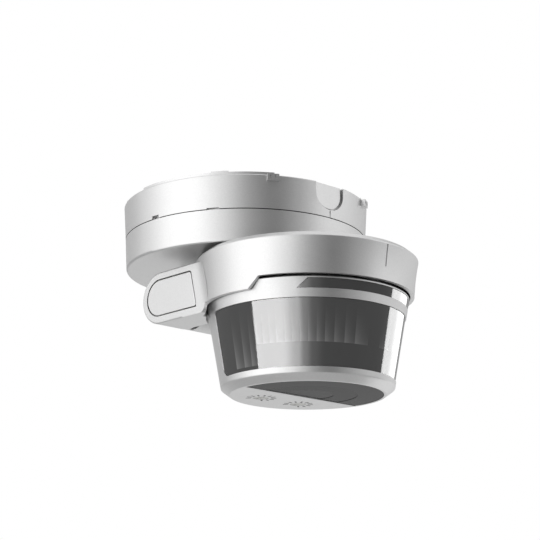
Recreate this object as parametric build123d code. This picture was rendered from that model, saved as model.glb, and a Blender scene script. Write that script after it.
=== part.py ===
from build123d import *
from math import cos, radians, sin, sqrt, tan
import os

# Motion detector for a ceiling or a wall, in millimetres.
# The detector hangs below its back face and the head reaches towards -Y. Heights are counted from
# the plane of the upper shell's back edge; at the end all pieces move so that the back face is z = 0.
BACK_FACE = 0.6

# Round base of two shells
BASE_RADIUS = 42.0
BACK_RADIUS = 42.66
BASE_FLOOR_RADIUS = 41.5
SHELL_TOP = -0.8
SEAM = -12.3
SEAM_GAP = 0.3
BASE_FLOOR = -23.56
BASE_WALL = 2.2
BACK_PLATE = 2.5
FIXING_SPACING = 60.0
FIXING_SLOT_LENGTH = 8.0
FIXING_SLOT_RADIUS = 2.2
CABLE_HOLE_RADIUS = 8.0
CABLE_HOLE_Y = -6.0
SPACER_TOP = 0.2
SPACER_BAND = (29.0, 98.0)
SPACER_FOOT = (50.0, 58.0)

# Swivel between the two shells
TRAY_RADIUS = 37.0
TRAY_WALL = 1.8
TRAY_FLANGE = -10.6
TRAY_FLOOR = -21.0
RUNNING_GAP = 0.05
LIP_BOTTOM = -15.5
LEAD_RADIUS = 6.0

# Tilting hinge
HINGE_Y = 6.9
HINGE_Z = -36.6
ARM_RADIUS = 8.9
ARM_OUTER = 33.0
ARM_INNER = 20.5
KNUCKLE_RADIUS = 6.5
KNUCKLE_HALF = 19.7
NECK_HALF = 5.0
AXLE_RADIUS = 3.0
AXLE_HALF = 26.6
CAP_DEPTH = 2.0
CAP_RADIUS = 6.1
CAP_GROOVE = 0.4

# Ring of the head, turned about its own axis
HEAD_Y = -31.0
RING_TOP = -25.0
RING_TOP_RADIUS = 35.4
RING_EDGE = -26.6
RING_RADIUS = 37.35
RING_FOOT_RADIUS = 35.65
RING_FOOT = -42.4
RING_FRONT_FOOT = -38.55
RING_STEP_ANGLES = (70.0, 76.0)
RING_BORE = 34.4
RING_BORE_FOOT = 34.1
RING_ROOF = 2.0
TROUGH_RADIUS = 8.8
TROUGH_BORE = 6.8
TROUGH_LIP_ANGLE = 50.0
COLLAR_RADIUS = 27.2
COLLAR_WALL = 2.0
COLLAR_FOOT = -36.4
BAYONET_ANGLES = (0.0, 120.0, 240.0)
BLEND_RADIUS = 11.0
ARM_TIP_Y = -16.4
ARM_TIP_ROUND = 4.6
ARM_ROUND = 0.6
RING_EDGE_ROUND = 0.4
LEAD_WINDOW_X = (9.5, 14.5)
LEAD_WINDOW_Z = (-33.0, -27.6)
SCREW_BORE_RADIUS = 5.0

# Conical lens frame and its windows
CONE_ANGLE = 10.0
CONE_FOOT = -69.1
CONE_FOOT_RADIUS = 28.77
FRAME_TOP = -39.0
FRAME_BOTTOM = -71.2
FRAME_BOTTOM_RADIUS = 25.9
FRAME_WALL = 2.6
LENS_TOP = -45.7
LENS_BOTTOM = -67.2
LENS_HALF_ANGLE = 112.0
LENS_THICKNESS = 1.5
LENS_RECESS = 0.3
LENS_FACETS = 36
STRIP_TOP = -39.7
STRIP_BOTTOM = -42.9
STRIP_ANGLES = (44.0, 50.0)
SEAT = 0.8
FIT = 0.1
NECK_RADIUS = 25.4
NECK_TOP = -31.0
FLOOR_WINDOW_RADIUS = 25.1
FLOOR_WINDOW_CHORD = 2.9
FLOOR_INSIDE = -68.4
FLOOR_ZONES = (16.4, 8.4)
FLOOR_STEP = 0.1
DIAL_RADIUS = 2.6
DIAL_X = 8.5
DIAL_Y = 13.6

# Boards
BOARD = 1.6
POWER_BOARD = -15.8
SENSOR_BOARD = -42.0
SENSOR_BOARD_RADIUS = 22.5
CONTROL_BOARD = -62.4


def turned(points, arc=360.0, middle=-90.0, y=0.0):
    """Turn an outline of (radius, z) points about a vertical axis, centred on one direction."""
    outline = Plane.XZ * make_face(Polyline(*points, close=True))
    solid = revolve(outline, Axis.Z, arc)
    return Pos(0, y, 0) * Rot(0, 0, middle - arc / 2) * solid


def disc(radius, top, bottom, x=0.0, y=0.0):
    """Upright cylinder between two heights."""
    return Pos(x, y, (top + bottom) / 2) * Cylinder(radius, top - bottom)


def tube(outer, inner, top, bottom, x=0.0, y=0.0):
    return disc(outer, top, bottom, x, y) - disc(inner, top + 1, bottom - 1, x, y)


def sector(outer, inner, top, bottom, middle, width, y=0.0):
    """Part of an upright tube, width degrees wide about a direction counted from the front."""
    points = [(inner, top), (outer, top), (outer, bottom), (inner, bottom)]
    return turned(points, width, middle - 90, y)


def block(x, y, z):
    """Box between two corners given as ranges."""
    size = (x[1] - x[0], y[1] - y[0], z[1] - z[0])
    return Pos((x[0] + x[1]) / 2, (y[0] + y[1]) / 2, (z[0] + z[1]) / 2) * Box(*size)


def rod(radius, start, end, y=HINGE_Y, z=HINGE_Z):
    """Cylinder along X."""
    return Pos((start + end) / 2, y, z) * Rot(0, 90, 0) * Cylinder(radius, abs(end - start))


def drill_y(radius, start, end, x, z):
    """Cylinder along Y."""
    return Pos(x, (start + end) / 2, z) * Rot(90, 0, 0) * Cylinder(radius, abs(end - start))


def at_angle(angle, radius, y=0.0):
    """Point at an angle from the front, seen from above."""
    return radius * sin(radians(angle)), y - radius * cos(radians(angle))


def side_prism(outline, start, depth):
    """Push an outline drawn in Y and Z along X."""
    return Pos(start, 0, 0) * extrude(Plane.YZ * outline, depth)


def both_sides(solid):
    return [solid, mirror(solid, Plane.YZ)]


# Mounting socket
BLOCK_SCREW_XS = [-15.6, 15.6]
BLOCK_SCREW_Y = 28.2


def back_radius(z):
    slope = (BACK_RADIUS - BASE_RADIUS) / (SHELL_TOP - SEAM)
    return BASE_RADIUS + slope * (z - SEAM)


def knock_out_cut(inset, floor):
    """Cuts from outside to a flat floor: straight sides above, a half ellipse below."""
    half, straight, bottom = 6.4 - inset, -4.0, -9.8 + inset
    lower = Pos(0, straight) * Ellipse(half, straight - bottom)
    upper = Pos(0, straight / 2) * Rectangle(2 * half, -straight)
    face = Pos(0, -BACK_RADIUS - 2, 0) * (Plane.XZ * (lower + upper))
    return extrude(face, -(BACK_RADIUS + 2 - floor))


def knock_out():
    """Shallow recess of a cable knock-out, with a deeper groove round it to break it out along."""
    floor, groove_floor, groove_width = 41.3, 40.4, 0.7
    groove = knock_out_cut(0, groove_floor) - knock_out_cut(groove_width, groove_floor - 1)
    return knock_out_cut(0, floor) + groove


def mounting_socket():
    inner = BASE_RADIUS - BASE_WALL
    plate = SHELL_TOP - BACK_PLATE
    body = turned([(0, SHELL_TOP), (back_radius(SHELL_TOP), SHELL_TOP), (BASE_RADIUS, SEAM), (0, SEAM)])
    body = fillet(body.edges().sort_by(Axis.Z)[-1], 0.4)
    body -= disc(inner, plate, SEAM - 1)
    for side in (-1, 1):
        middle = side * sum(SPACER_BAND) / 2
        body += sector(41.9, 37.5, SPACER_TOP, SHELL_TOP, middle, SPACER_BAND[1] - SPACER_BAND[0])
        for foot in (sum(SPACER_FOOT) / 2, 180 - sum(SPACER_FOOT) / 2):
            body += sector(41.9, 37.5, BACK_FACE, SHELL_TOP, side * foot, SPACER_FOOT[1] - SPACER_FOOT[0])
        x, y = at_angle(side * 30, BACK_RADIUS)
        nub = block((-1.95, 1.95), (-1.2, 2.0), (-3.1, SHELL_TOP))
        for slot in (-0.9, 0.9):
            nub -= block((slot - 0.3, slot + 0.3), (-1.3, -0.5), (-2.6, -1.3))
        body += Pos(x, y, 0) * Rot(0, 0, side * 30) * nub
        body += disc(5.5, BACK_FACE, SHELL_TOP, x=side * FIXING_SPACING / 2)
        slot = extrude(SlotOverall(FIXING_SLOT_LENGTH, 2 * FIXING_SLOT_RADIUS), 8, both=True)
        body -= Pos(side * FIXING_SPACING / 2, 0, 0) * slot
    body -= knock_out()
    body -= block((-0.3, 0.3), (-BACK_RADIUS - 1, -BASE_RADIUS + 0.15), (SEAM - 1, -9.7))
    x, y = at_angle(-88, BASE_RADIUS)
    body -= Pos(x, y, SEAM) * Rot(0, 0, -88) * block((-1.65, 1.65), (-2, 1.4), (-1, 1.0))
    x, y = at_angle(-57, BASE_RADIUS)
    body -= Pos(x, y, SEAM) * Rot(0, 0, -57) * block((-2.1, 2.1), (-2, 1.4), (-1, 0.35))
    body -= disc(CABLE_HOLE_RADIUS, 1, plate - 1, y=CABLE_HOLE_Y)
    for angle in (60, 180, 300):
        body += sector(inner + 0.5, 38.4, -8.0, TRAY_FLANGE, angle, 24)
    for x in BLOCK_SCREW_XS:
        body += tube(2.0, 0.9, plate, -10.0, x=x, y=BLOCK_SCREW_Y)
    return body


def cable_grommet():
    """Rubber grommet with a membrane that the supply cable is pushed through."""
    plate = SHELL_TOP - BACK_PLATE
    body = turned([(0, -1.6), (3.0, -1.6), (5.0, -0.9), (6.6, -0.9), (6.6, -0.3), (9.4, -0.3),
                   (9.4, SHELL_TOP), (CABLE_HOLE_RADIUS, SHELL_TOP), (CABLE_HOLE_RADIUS, plate),
                   (9.4, plate), (9.4, plate - 0.8), (5.8, plate - 0.8), (5.8, -2.1), (3.0, -2.4),
                   (0, -2.4)])
    return Pos(0, CABLE_HOLE_Y, 0) * body


# Terminals in the socket
TERMINAL_XS = [-14.0, -7.0, 0.0, 7.0, 14.0]
TERMINAL_Z = -6.6
TERMINAL_FRONT = 13.0
TERMINAL_BACK = 26.0
TERMINAL_FOOT = -12.6


def terminal_block():
    plate = SHELL_TOP - BACK_PLATE
    body = block((-18.0, 18.0), (TERMINAL_FRONT, TERMINAL_BACK), (TERMINAL_FOOT, plate))
    for x in TERMINAL_XS:
        body -= block((x - 2.5, x + 2.5), (TERMINAL_FRONT - 1, 21.0), (TERMINAL_Z - 2.5, TERMINAL_Z + 2.5))
        body -= disc(1.9, TERMINAL_Z - 2, TERMINAL_FOOT - 1, x=x, y=17.0)
        body -= disc(1.1, TERMINAL_Z - 2, TERMINAL_FOOT - 1, x=x, y=23.5)
    for x in BLOCK_SCREW_XS:
        body += block((x - 2, x + 2), (TERMINAL_BACK, BLOCK_SCREW_Y + 2), (-11.6, -10.0))
        body -= disc(1.0, -9, -12, x=x, y=BLOCK_SCREW_Y)
    return body


def terminal_clamps():
    """Brass cages that pinch the wires."""
    clamps = []
    for x in TERMINAL_XS:
        cage = block((x - 2.4, x + 2.4), (14.0, 20.9), (TERMINAL_Z - 2.4, TERMINAL_Z + 2.4))
        cage -= drill_y(1.5, 13, 22, x, TERMINAL_Z + 0.4)
        cage -= disc(1.2, TERMINAL_Z - 1, TERMINAL_Z - 3, x=x, y=17.0)
        clamps.append(cage)
    return clamps


def terminal_screws():
    screws = []
    for x in TERMINAL_XS:
        screw = disc(1.15, TERMINAL_Z - 1.2, TERMINAL_Z - 2.6, x=x, y=17.0)
        screw += disc(1.8, TERMINAL_Z - 2.6, TERMINAL_FOOT + 1.2, x=x, y=17.0)
        screw -= block((x - 0.3, x + 0.3), (14, 20), (TERMINAL_FOOT, TERMINAL_FOOT + 1.8))
        screws.append(screw)
    return screws


def block_screws():
    """Screws that hold the terminal block to the socket's two posts."""
    screws = []
    for x in BLOCK_SCREW_XS:
        screw = disc(1.8, -11.6, -12.6, x=x, y=BLOCK_SCREW_Y) + disc(0.9, -5.0, -11.6, x=x, y=BLOCK_SCREW_Y)
        slot = block((x - 1.2, x + 1.2), (BLOCK_SCREW_Y - 0.3, BLOCK_SCREW_Y + 0.3), (-13, -12.2))
        screws.append(screw - slot)
    return screws


# Power tray and what it carries
PEG_ANGLES = [62.0, 118.0, 242.0, 298.0]
PEG_RADIUS_AT = 30.0


def power_tray():
    floor_top = TRAY_FLOOR + 1.6
    inner = TRAY_RADIUS - TRAY_WALL
    body = turned([(LEAD_RADIUS, TRAY_FLOOR), (TRAY_RADIUS, TRAY_FLOOR), (TRAY_RADIUS, SEAM),
                   (39.4, SEAM), (39.4, TRAY_FLANGE), (inner, TRAY_FLANGE), (inner, floor_top),
                   (LEAD_RADIUS + 1.6, floor_top), (LEAD_RADIUS + 1.6, -18.6), (LEAD_RADIUS, -18.6)])
    body -= tube(TRAY_RADIUS + 1, TRAY_RADIUS - 0.9, LIP_BOTTOM - 0.1, LIP_BOTTOM - 1.1)
    for angle in PEG_ANGLES:
        x, y = at_angle(angle, PEG_RADIUS_AT)
        body += disc(2.4, POWER_BOARD - BOARD, floor_top, x, y)
        body -= disc(1.0, POWER_BOARD, floor_top - 0.5, x, y)
    for angle in (60, 180, 300):
        body += sector(38.0, 36.4, -6.9, TRAY_FLANGE, angle, 20)
        body += sector(39.3, 37.9, -6.9, -7.9, angle, 20)
    return body


def swivel_clip():
    """Open spring ring in the tray's groove that keeps the lower shell on."""
    body = tube(TRAY_RADIUS + 1.3, TRAY_RADIUS - 0.9, LIP_BOTTOM - 0.1, LIP_BOTTOM - 1.1)
    return body - block((-4, 4), (30, 42), (LIP_BOTTOM - 2, LIP_BOTTOM))


def swivel_seal():
    """Flat rubber ring between the tray's flange and the lip of the lower shell."""
    return tube(39.3, TRAY_RADIUS + 0.3, SEAM, SEAM - 0.25)


def power_board():
    body = disc(34.6, POWER_BOARD, POWER_BOARD - BOARD) - disc(LEAD_RADIUS + 2, 0, -30)
    for angle in PEG_ANGLES:
        x, y = at_angle(angle, PEG_RADIUS_AT)
        body -= disc(1.1, 0, -30, x, y)
    for x in TERMINAL_XS:
        body -= disc(0.8, 0, -30, x=x, y=23.5)
    return body


def power_board_screws():
    screws = []
    for angle in PEG_ANGLES:
        x, y = at_angle(angle, PEG_RADIUS_AT)
        screw = disc(1.9, POWER_BOARD + 1.2, POWER_BOARD, x, y)
        screw += disc(1.0, POWER_BOARD, -19.2, x, y)
        turn = Pos(x, y, 0) * Rot(0, 0, angle)
        screws.append(screw - turn * block((-1.4, 1.4), (-0.25, 0.25), (POWER_BOARD + 0.7, 0)))
    return screws


def plug_pins():
    """Pins that rise from the board into the terminal block."""
    pins = []
    for x in TERMINAL_XS:
        pin = disc(0.8, -10.6, POWER_BOARD - BOARD, x=x, y=23.5)
        pins.append(fillet(pin.edges().sort_by(Axis.Z)[-1], 0.4))
    return pins


def relay():
    case = block((4.0, 24.0), (-25.0, -12.0), (POWER_BOARD, -6.0))
    return fillet(case.edges().filter_by(Axis.Z), 0.8)


def suppression_capacitor():
    case = block((-22.0, -4.0), (-26.0, -18.5), (POWER_BOARD, -5.2))
    return fillet(case.edges().filter_by(Axis.Z), 0.6)


def smoothing_capacitor():
    body = disc(5.0, -5.6, POWER_BOARD, x=-17.0, y=-9.0)
    body = fillet(body.edges().sort_by(Axis.Z)[-1], 0.8)
    return body - tube(6.0, 4.6, POWER_BOARD + 1.9, POWER_BOARD + 1.3, x=-17.0, y=-9.0)


def coil():
    """Choke on a bobbin."""
    core = disc(4.2, POWER_BOARD + 7.0, POWER_BOARD, x=-18.0, y=5.0)
    return core - tube(5.0, 3.0, POWER_BOARD + 5.8, POWER_BOARD + 1.2, x=-18.0, y=5.0)


# Lower shell with the hinge knuckle
def swivel_base():
    top = SEAM - SEAM_GAP
    lip = TRAY_RADIUS + RUNNING_GAP
    body = turned([(0, top), (BASE_RADIUS - 0.02, top), (BASE_FLOOR_RADIUS, BASE_FLOOR), (0, BASE_FLOOR)])
    body = fillet(body.edges().sort_by(Axis.Z)[0], 0.8)
    neck = block((-KNUCKLE_HALF, KNUCKLE_HALF), (HINGE_Y - NECK_HALF, HINGE_Y + NECK_HALF),
                 (HINGE_Z, BASE_FLOOR + 1))
    body += neck + rod(KNUCKLE_RADIUS, -KNUCKLE_HALF, KNUCKLE_HALF)
    body -= disc(lip, top + 1, LIP_BOTTOM)
    body -= disc(BASE_RADIUS - BASE_WALL - 0.3, LIP_BOTTOM, BASE_FLOOR + 2.0)
    body -= rod(AXLE_RADIUS, -KNUCKLE_HALF - 1, KNUCKLE_HALF + 1)
    body -= disc(1.9, BASE_FLOOR + 3, -29.4, x=12.0, y=HINGE_Y)
    body -= drill_y(1.9, 0.0, HINGE_Y, 12.0, -29.4)
    return body


def hinge_axle():
    """Steel pin pressed into the knuckle, threaded at both ends."""
    body = rod(AXLE_RADIUS, -AXLE_HALF, AXLE_HALF)
    return body - rod(1.5, 19.0, AXLE_HALF + 1) - rod(1.5, -19.0, -AXLE_HALF - 1)


def friction_washers():
    """Spring washers that hold the head at the angle it is set to."""
    washer = rod(6.2, KNUCKLE_HALF, KNUCKLE_HALF + 0.6) - rod(AXLE_RADIUS, KNUCKLE_HALF - 1, ARM_INNER)
    return both_sides(washer)


def hinge_washers():
    washer = rod(4.4, AXLE_HALF, AXLE_HALF + 0.6) - rod(1.5, AXLE_HALF - 1, AXLE_HALF + 1)
    return both_sides(washer)


def hinge_screws():
    head = rod(2.9, AXLE_HALF + 0.6, AXLE_HALF + 2.8)
    screw = head + rod(1.5, 20.5, AXLE_HALF + 0.6)
    recess = side_prism(Pos(HINGE_Y, HINGE_Z) * RegularPolygon(1.3, 6), AXLE_HALF + 1.4, 3)
    return both_sides(screw - recess)


# Head housing: fork arms and ring in one moulding
def arm_outline():
    top, bottom = HINGE_Z + ARM_RADIUS, HINGE_Z - ARM_RADIUS
    straight = Polyline((HINGE_Y, top), (-20, top), (-20, bottom), (HINGE_Y, bottom), close=True)
    return make_face(straight) + Pos(HINGE_Y, HINGE_Z) * Circle(ARM_RADIUS)


def cap_outline(radius):
    """D shape with its straight edge leaning like the side of the ring."""
    top, bottom = HINGE_Z + radius, HINGE_Z - radius
    grow = radius - CAP_RADIUS
    front_top = (-9.2 - grow, top)
    front_bottom = (-12.3 - grow, bottom)
    shape = make_face(Polyline((HINGE_Y, top), front_top, front_bottom, (HINGE_Y, bottom), close=True))
    shape = fillet(shape.vertices().sort_by(Axis.X)[:2], 0.9 + grow)
    return shape + Pos(HINGE_Y, HINGE_Z) * Circle(radius)


def ring_cutter():
    """Clears the ring's lower edge in front, with slanted ends."""
    low, high = RING_FOOT - 3, RING_FRONT_FOOT
    narrow, wide = RING_STEP_ANGLES
    body = sector(42, 30, high, low, 0, 2 * narrow, HEAD_Y)
    reach = RING_RADIUS * radians(wide - narrow) * (high - low) / (high - RING_FOOT)
    for side in (-1, 1):
        slant = Polyline((0, high), (-side * 3, high), (-side * 3, low), (side * reach, low), close=True)
        wedge = extrude(Pos(0, -42, 0) * (Plane.XZ * make_face(slant)), -12)
        body += Pos(0, HEAD_Y, 0) * Rot(0, 0, side * narrow) * wedge
    return body


def trough():
    """Wall that wraps the knuckle from the front round to a lip behind its lowest line."""
    wall = rod(TROUGH_RADIUS, -ARM_INNER, ARM_INNER) - rod(TROUGH_BORE, -ARM_INNER - 1, ARM_INNER + 1)
    lip_y = ARM_RADIUS * cos(radians(TROUGH_LIP_ANGLE)) * 2
    lip_z = ARM_RADIUS * sin(radians(TROUGH_LIP_ANGLE)) * 2
    open_part = Polyline((0, 0), (lip_y, -lip_z), (3 * ARM_RADIUS, 3 * ARM_RADIUS),
                         (-2 * ARM_RADIUS, 3 * ARM_RADIUS), (-2 * ARM_RADIUS, 0), close=True)
    face = Pos(HINGE_Y, HINGE_Z) * make_face(open_part)
    return wall - side_prism(face, -ARM_INNER - 1, 2 * ARM_INNER + 2)


def ring_radius(z):
    """Outer radius of the ring's side, which flattens out towards the foot."""
    share = (z - RING_FOOT) / (RING_EDGE - RING_FOOT)
    return RING_FOOT_RADIUS + (RING_RADIUS - RING_FOOT_RADIUS) * share ** 2


def ring_disc():
    """Bevelled disc that the ring is hollowed from, its side a flat parabola."""
    edge, foot = (RING_RADIUS, RING_EDGE), (RING_FOOT_RADIUS, RING_FOOT)
    side = Bezier(edge, (RING_FOOT_RADIUS, (RING_EDGE + RING_FOOT) / 2), foot)
    rest = Polyline(foot, (0, RING_FOOT), (0, RING_TOP), (RING_TOP_RADIUS, RING_TOP), edge)
    return Pos(0, HEAD_Y, 0) * revolve(Plane.XZ * make_face([side, rest]), Axis.Z)


def ring_bore():
    """Straight above, narrower towards the foot like the cone inside it."""
    low = HINGE_Z - ARM_RADIUS - 1
    slope = (RING_BORE - RING_BORE_FOOT) / (RING_FRONT_FOOT - RING_FOOT)
    low_radius = RING_BORE + slope * (low - RING_FRONT_FOOT)
    return turned([(0, RING_TOP - RING_ROOF), (RING_BORE, RING_TOP - RING_ROOF),
                   (RING_BORE, RING_FRONT_FOOT), (low_radius, low), (0, low)], y=HEAD_Y)


def arm_blend(z):
    """Fills the corner between the arm's flat side and the ring with an arc that touches both."""
    radius = ring_radius(z)
    centre_x = ARM_OUTER + BLEND_RADIUS
    reach = radius + BLEND_RADIUS
    centre_y = sqrt(reach ** 2 - centre_x ** 2)
    on_ring = (centre_x * radius / reach, HEAD_Y + centre_y * radius / reach)
    on_arm = (ARM_OUTER, HEAD_Y + centre_y)
    arc = RadiusArc(on_ring, on_arm, BLEND_RADIUS)
    rest = Polyline(on_arm, (ARM_OUTER - 1, on_arm[1]), (ARM_OUTER - 1, on_ring[1]), on_ring)
    return Pos(0, 0, z) * make_face([arc, rest])


def head_housing():
    ring = ring_disc() - ring_cutter()
    circles = ring.edges().filter_by(GeomType.CIRCLE).group_by(Axis.Z)
    ring = fillet(circles[-2], RING_EDGE_ROUND)
    arm = side_prism(arm_outline(), ARM_INNER, ARM_OUTER - ARM_INNER)
    arm = fillet(arm.faces().sort_by(Axis.X)[-1].edges(), ARM_ROUND)
    arm += loft([arm_blend(HINGE_Z + ARM_RADIUS - ARM_ROUND), arm_blend(RING_FOOT)])
    right_arm, left_arm = both_sides(arm)
    body = ring + right_arm + left_arm - ring_bore()
    notch_front = HINGE_Y - TROUGH_BORE
    plate_front = HINGE_Y - TROUGH_RADIUS
    span = (-ARM_INNER, ARM_INNER)
    body -= block(span, (notch_front, 20), (HINGE_Z - ARM_RADIUS - 1, RING_TOP + 1))
    body -= rod(ARM_RADIUS, -ARM_INNER, ARM_INNER)
    body += block(span, (plate_front, notch_front), (HINGE_Z, RING_TOP - 0.5))
    body += trough()
    body -= block(LEAD_WINDOW_X, (plate_front - 1, notch_front + 1), LEAD_WINDOW_Z)
    body += collar()
    recess = side_prism(cap_outline(CAP_RADIUS + CAP_GROOVE), ARM_OUTER - CAP_DEPTH, 5)
    bore = rod(AXLE_RADIUS + RUNNING_GAP, ARM_INNER - 1, AXLE_HALF)
    bore += rod(SCREW_BORE_RADIUS, AXLE_HALF - 0.1, ARM_OUTER - CAP_DEPTH)
    for cut in both_sides(recess + bore) + both_sides(arm_corner()):
        body -= cut
    return body - index_line()


def collar():
    """Sleeve under the roof with ledges that the lens frame's neck is turned onto."""
    top = RING_TOP - RING_ROOF + 0.5
    sleeve = tube(COLLAR_RADIUS + COLLAR_WALL, COLLAR_RADIUS, top, COLLAR_FOOT, y=HEAD_Y)
    for angle in BAYONET_ANGLES:
        sleeve += sector(COLLAR_RADIUS + 0.5, COLLAR_RADIUS - 1.4, NECK_TOP - 2, NECK_TOP - 3.2,
                         angle, 30, HEAD_Y)
    return sleeve


def arm_corner():
    """Takes the front corner off the arm below the ring, leaving a rounded one that leans inwards."""
    tip, inner = (ARM_OUTER, ARM_TIP_Y), (ARM_INNER - 1, -5.0)
    kept = make_face(Polyline((ARM_OUTER, HINGE_Y), tip, inner, (inner[0], HINGE_Y), close=True))
    kept = fillet(kept.vertices().sort_by(Axis.Y)[0], ARM_TIP_ROUND)
    taken = Pos(ARM_OUTER - 5, HINGE_Y - 18) * Rectangle(20, 36) - kept
    return extrude(Pos(0, 0, RING_FOOT) * taken, -6)


def index_line():
    """Thin mark down the ring's side, opposite the one on the socket."""
    top, bottom, depth = RING_EDGE - 0.4, -34.2, 0.35
    return turned([(ring_radius(top) + 1, top), (ring_radius(bottom) + 1, bottom),
                   (ring_radius(bottom) - depth, bottom), (ring_radius(top) - depth, top)], 0.8, y=HEAD_Y)


def side_caps():
    """D-shaped covers over the hinge screws, each with a locating rim."""
    plate = side_prism(cap_outline(CAP_RADIUS), ARM_OUTER - CAP_DEPTH, CAP_DEPTH)
    plate = fillet(plate.faces().sort_by(Axis.X)[-1].edges(), 0.25)
    rim = rod(4.9, ARM_OUTER - CAP_DEPTH - 1.2, ARM_OUTER - CAP_DEPTH)
    rim -= rod(3.9, ARM_OUTER - CAP_DEPTH - 2, ARM_OUTER - CAP_DEPTH)
    return both_sides(plate + rim)


# Lens frame with its neck, ledges and floor
def cone_radius(z):
    return CONE_FOOT_RADIUS + tan(radians(CONE_ANGLE)) * (z - CONE_FOOT)


def cone_band(outside, thickness, top, bottom, arc):
    """Curved panel that follows the cone, its face the given depth under the cone's surface."""
    return turned([(cone_radius(top) - outside, top), (cone_radius(bottom) - outside, bottom),
                   (cone_radius(bottom) - outside - thickness, bottom),
                   (cone_radius(top) - outside - thickness, top)], arc, y=HEAD_Y)


def lens_panel(outside, thickness, shrink, corners=True):
    arc = 2 * (LENS_HALF_ANGLE - shrink * 2.0)
    panel = cone_band(outside, thickness, LENS_TOP - shrink, LENS_BOTTOM + shrink, arc)
    if not corners:
        return panel
    short = [e for e in panel.edges() if e.length < 1.2 * thickness]
    low = [e for e in short if e.center().Z < (LENS_TOP + LENS_BOTTOM) / 2]
    panel = fillet(low, 3.0)
    short = [e for e in panel.edges().filter_by(GeomType.LINE) if e.length < 1.2 * thickness]
    high = [e for e in short if e.center().Z > LENS_TOP - 1.5]
    return fillet(high, 1.2)


def strip_panel(outside, thickness, shrink):
    """Long window with slanted ends."""
    top, bottom = STRIP_TOP - shrink, STRIP_BOTTOM + shrink
    narrow, wide = STRIP_ANGLES
    panel = cone_band(outside, thickness, top, bottom, 2 * wide - 4 * shrink)
    reach = cone_radius(top) * radians(wide - narrow)
    for side in (-1, 1):
        face = make_face(Polyline((side * reach, bottom - 0.01), (side * 8, bottom - 0.01),
                                  (side * 8, top + 1), (0, top + 1), (0, top), close=True))
        wedge = extrude(Pos(0, -38, 0) * (Plane.XZ * face), -12)
        panel -= Pos(0, HEAD_Y, 0) * Rot(0, 0, side * (narrow - 2 * shrink)) * wedge
    return panel


def lens_frame():
    scallop = ARM_RADIUS + 0.4
    reach = ARM_INNER + 0.4
    outside = turned([(0, FRAME_TOP), (cone_radius(FRAME_TOP) - 0.3, FRAME_TOP),
                      (cone_radius(FRAME_TOP - 0.3), FRAME_TOP - 0.3), (CONE_FOOT_RADIUS, CONE_FOOT),
                      (FRAME_BOTTOM_RADIUS, FRAME_BOTTOM), (0, FRAME_BOTTOM)], y=HEAD_Y)
    outside = fillet(outside.edges().filter_by(GeomType.CIRCLE).sort_by(Axis.Z)[1], 0.6)
    inside = turned([(0, FRAME_TOP - 2), (cone_radius(FRAME_TOP - 2) - FRAME_WALL, FRAME_TOP - 2),
                     (cone_radius(FLOOR_INSIDE) - FRAME_WALL, FLOOR_INSIDE), (0, FLOOR_INSIDE)], y=HEAD_Y)
    inside -= rod(scallop + 1.6, -reach - 1.6, reach + 1.6)
    body = outside - inside - rod(scallop, -reach, reach)
    body += tube(NECK_RADIUS, NECK_RADIUS - 2, NECK_TOP, FRAME_TOP - 0.5, y=HEAD_Y)
    body -= disc(NECK_RADIUS - 2, NECK_TOP, FRAME_TOP - 3, y=HEAD_Y)
    for angle in BAYONET_ANGLES:
        body += sector(NECK_RADIUS + 1.5, NECK_RADIUS - 0.5, NECK_TOP, NECK_TOP - 2, angle, 28, HEAD_Y)
    depth = LENS_RECESS + LENS_THICKNESS
    body -= lens_panel(-1.0, 1.0 + depth, 0)
    body -= lens_panel(-1.0, 5.0, SEAT, corners=False)
    body -= strip_panel(-1.0, 2.6, 0)
    body -= strip_panel(-1.0, 5.0, SEAT / 2)
    body -= floor_window(FLOOR_WINDOW_RADIUS, FLOOR_WINDOW_CHORD, FRAME_BOTTOM - 1, FRAME_BOTTOM + 1.8)
    body -= floor_window(FLOOR_WINDOW_RADIUS - 1.4, FLOOR_WINDOW_CHORD - 1.2,
                         FRAME_BOTTOM, FLOOR_INSIDE + 1)
    for side in (-1, 1):
        body -= disc(DIAL_RADIUS + 0.08, -60, -80, x=side * DIAL_X, y=HEAD_Y + DIAL_Y)
    for angle in POST_ANGLES:
        x, y = at_angle(angle, POST_RADIUS_AT, HEAD_Y)
        body += disc(2.4, -66.0, FLOOR_INSIDE - 0.5, x, y)
    return body


def floor_window(radius, chord, bottom, top):
    """Part of a disc in front of a chord behind the head's axis."""
    front = block((-40, 40), (HEAD_Y - 40, HEAD_Y + chord), (bottom, top))
    return disc(radius, top, bottom, y=HEAD_Y) & front


def detection_lens():
    """Conical lens, smooth outside, with flat fields moulded on its inner face."""
    panel = lens_panel(LENS_RECESS, LENS_THICKNESS, FIT)
    top, bottom = LENS_TOP + 1, LENS_BOTTOM - 1
    across = cos(radians(180 / LENS_FACETS))
    inset = LENS_RECESS + LENS_THICKNESS
    ends = []
    for z in (bottom, top):
        corner_radius = (cone_radius(z) - inset) / across * 1.002
        ends.append(Pos(0, HEAD_Y, z) * RegularPolygon(corner_radius, LENS_FACETS))
    return panel - loft(ends)


def strip_window():
    return strip_panel(0.15, 1.4, FIT)


def floor_lens():
    radius, chord = FLOOR_WINDOW_RADIUS - FIT, FLOOR_WINDOW_CHORD - FIT
    body = floor_window(radius, chord, FRAME_BOTTOM + 0.1, FRAME_BOTTOM + 1.8)
    for count, zone in enumerate(FLOOR_ZONES):
        body -= disc(zone, FRAME_BOTTOM + FLOOR_STEP * (count + 2), FRAME_BOTTOM - 1, y=HEAD_Y)
    return body


def frame_seal():
    """Rubber ring between the frame's neck and the collar in the housing."""
    middle = (NECK_RADIUS + COLLAR_RADIUS) / 2
    return Pos(0, HEAD_Y, -35.6) * Torus(middle, (COLLAR_RADIUS - NECK_RADIUS) / 2 - 0.01)


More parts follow.
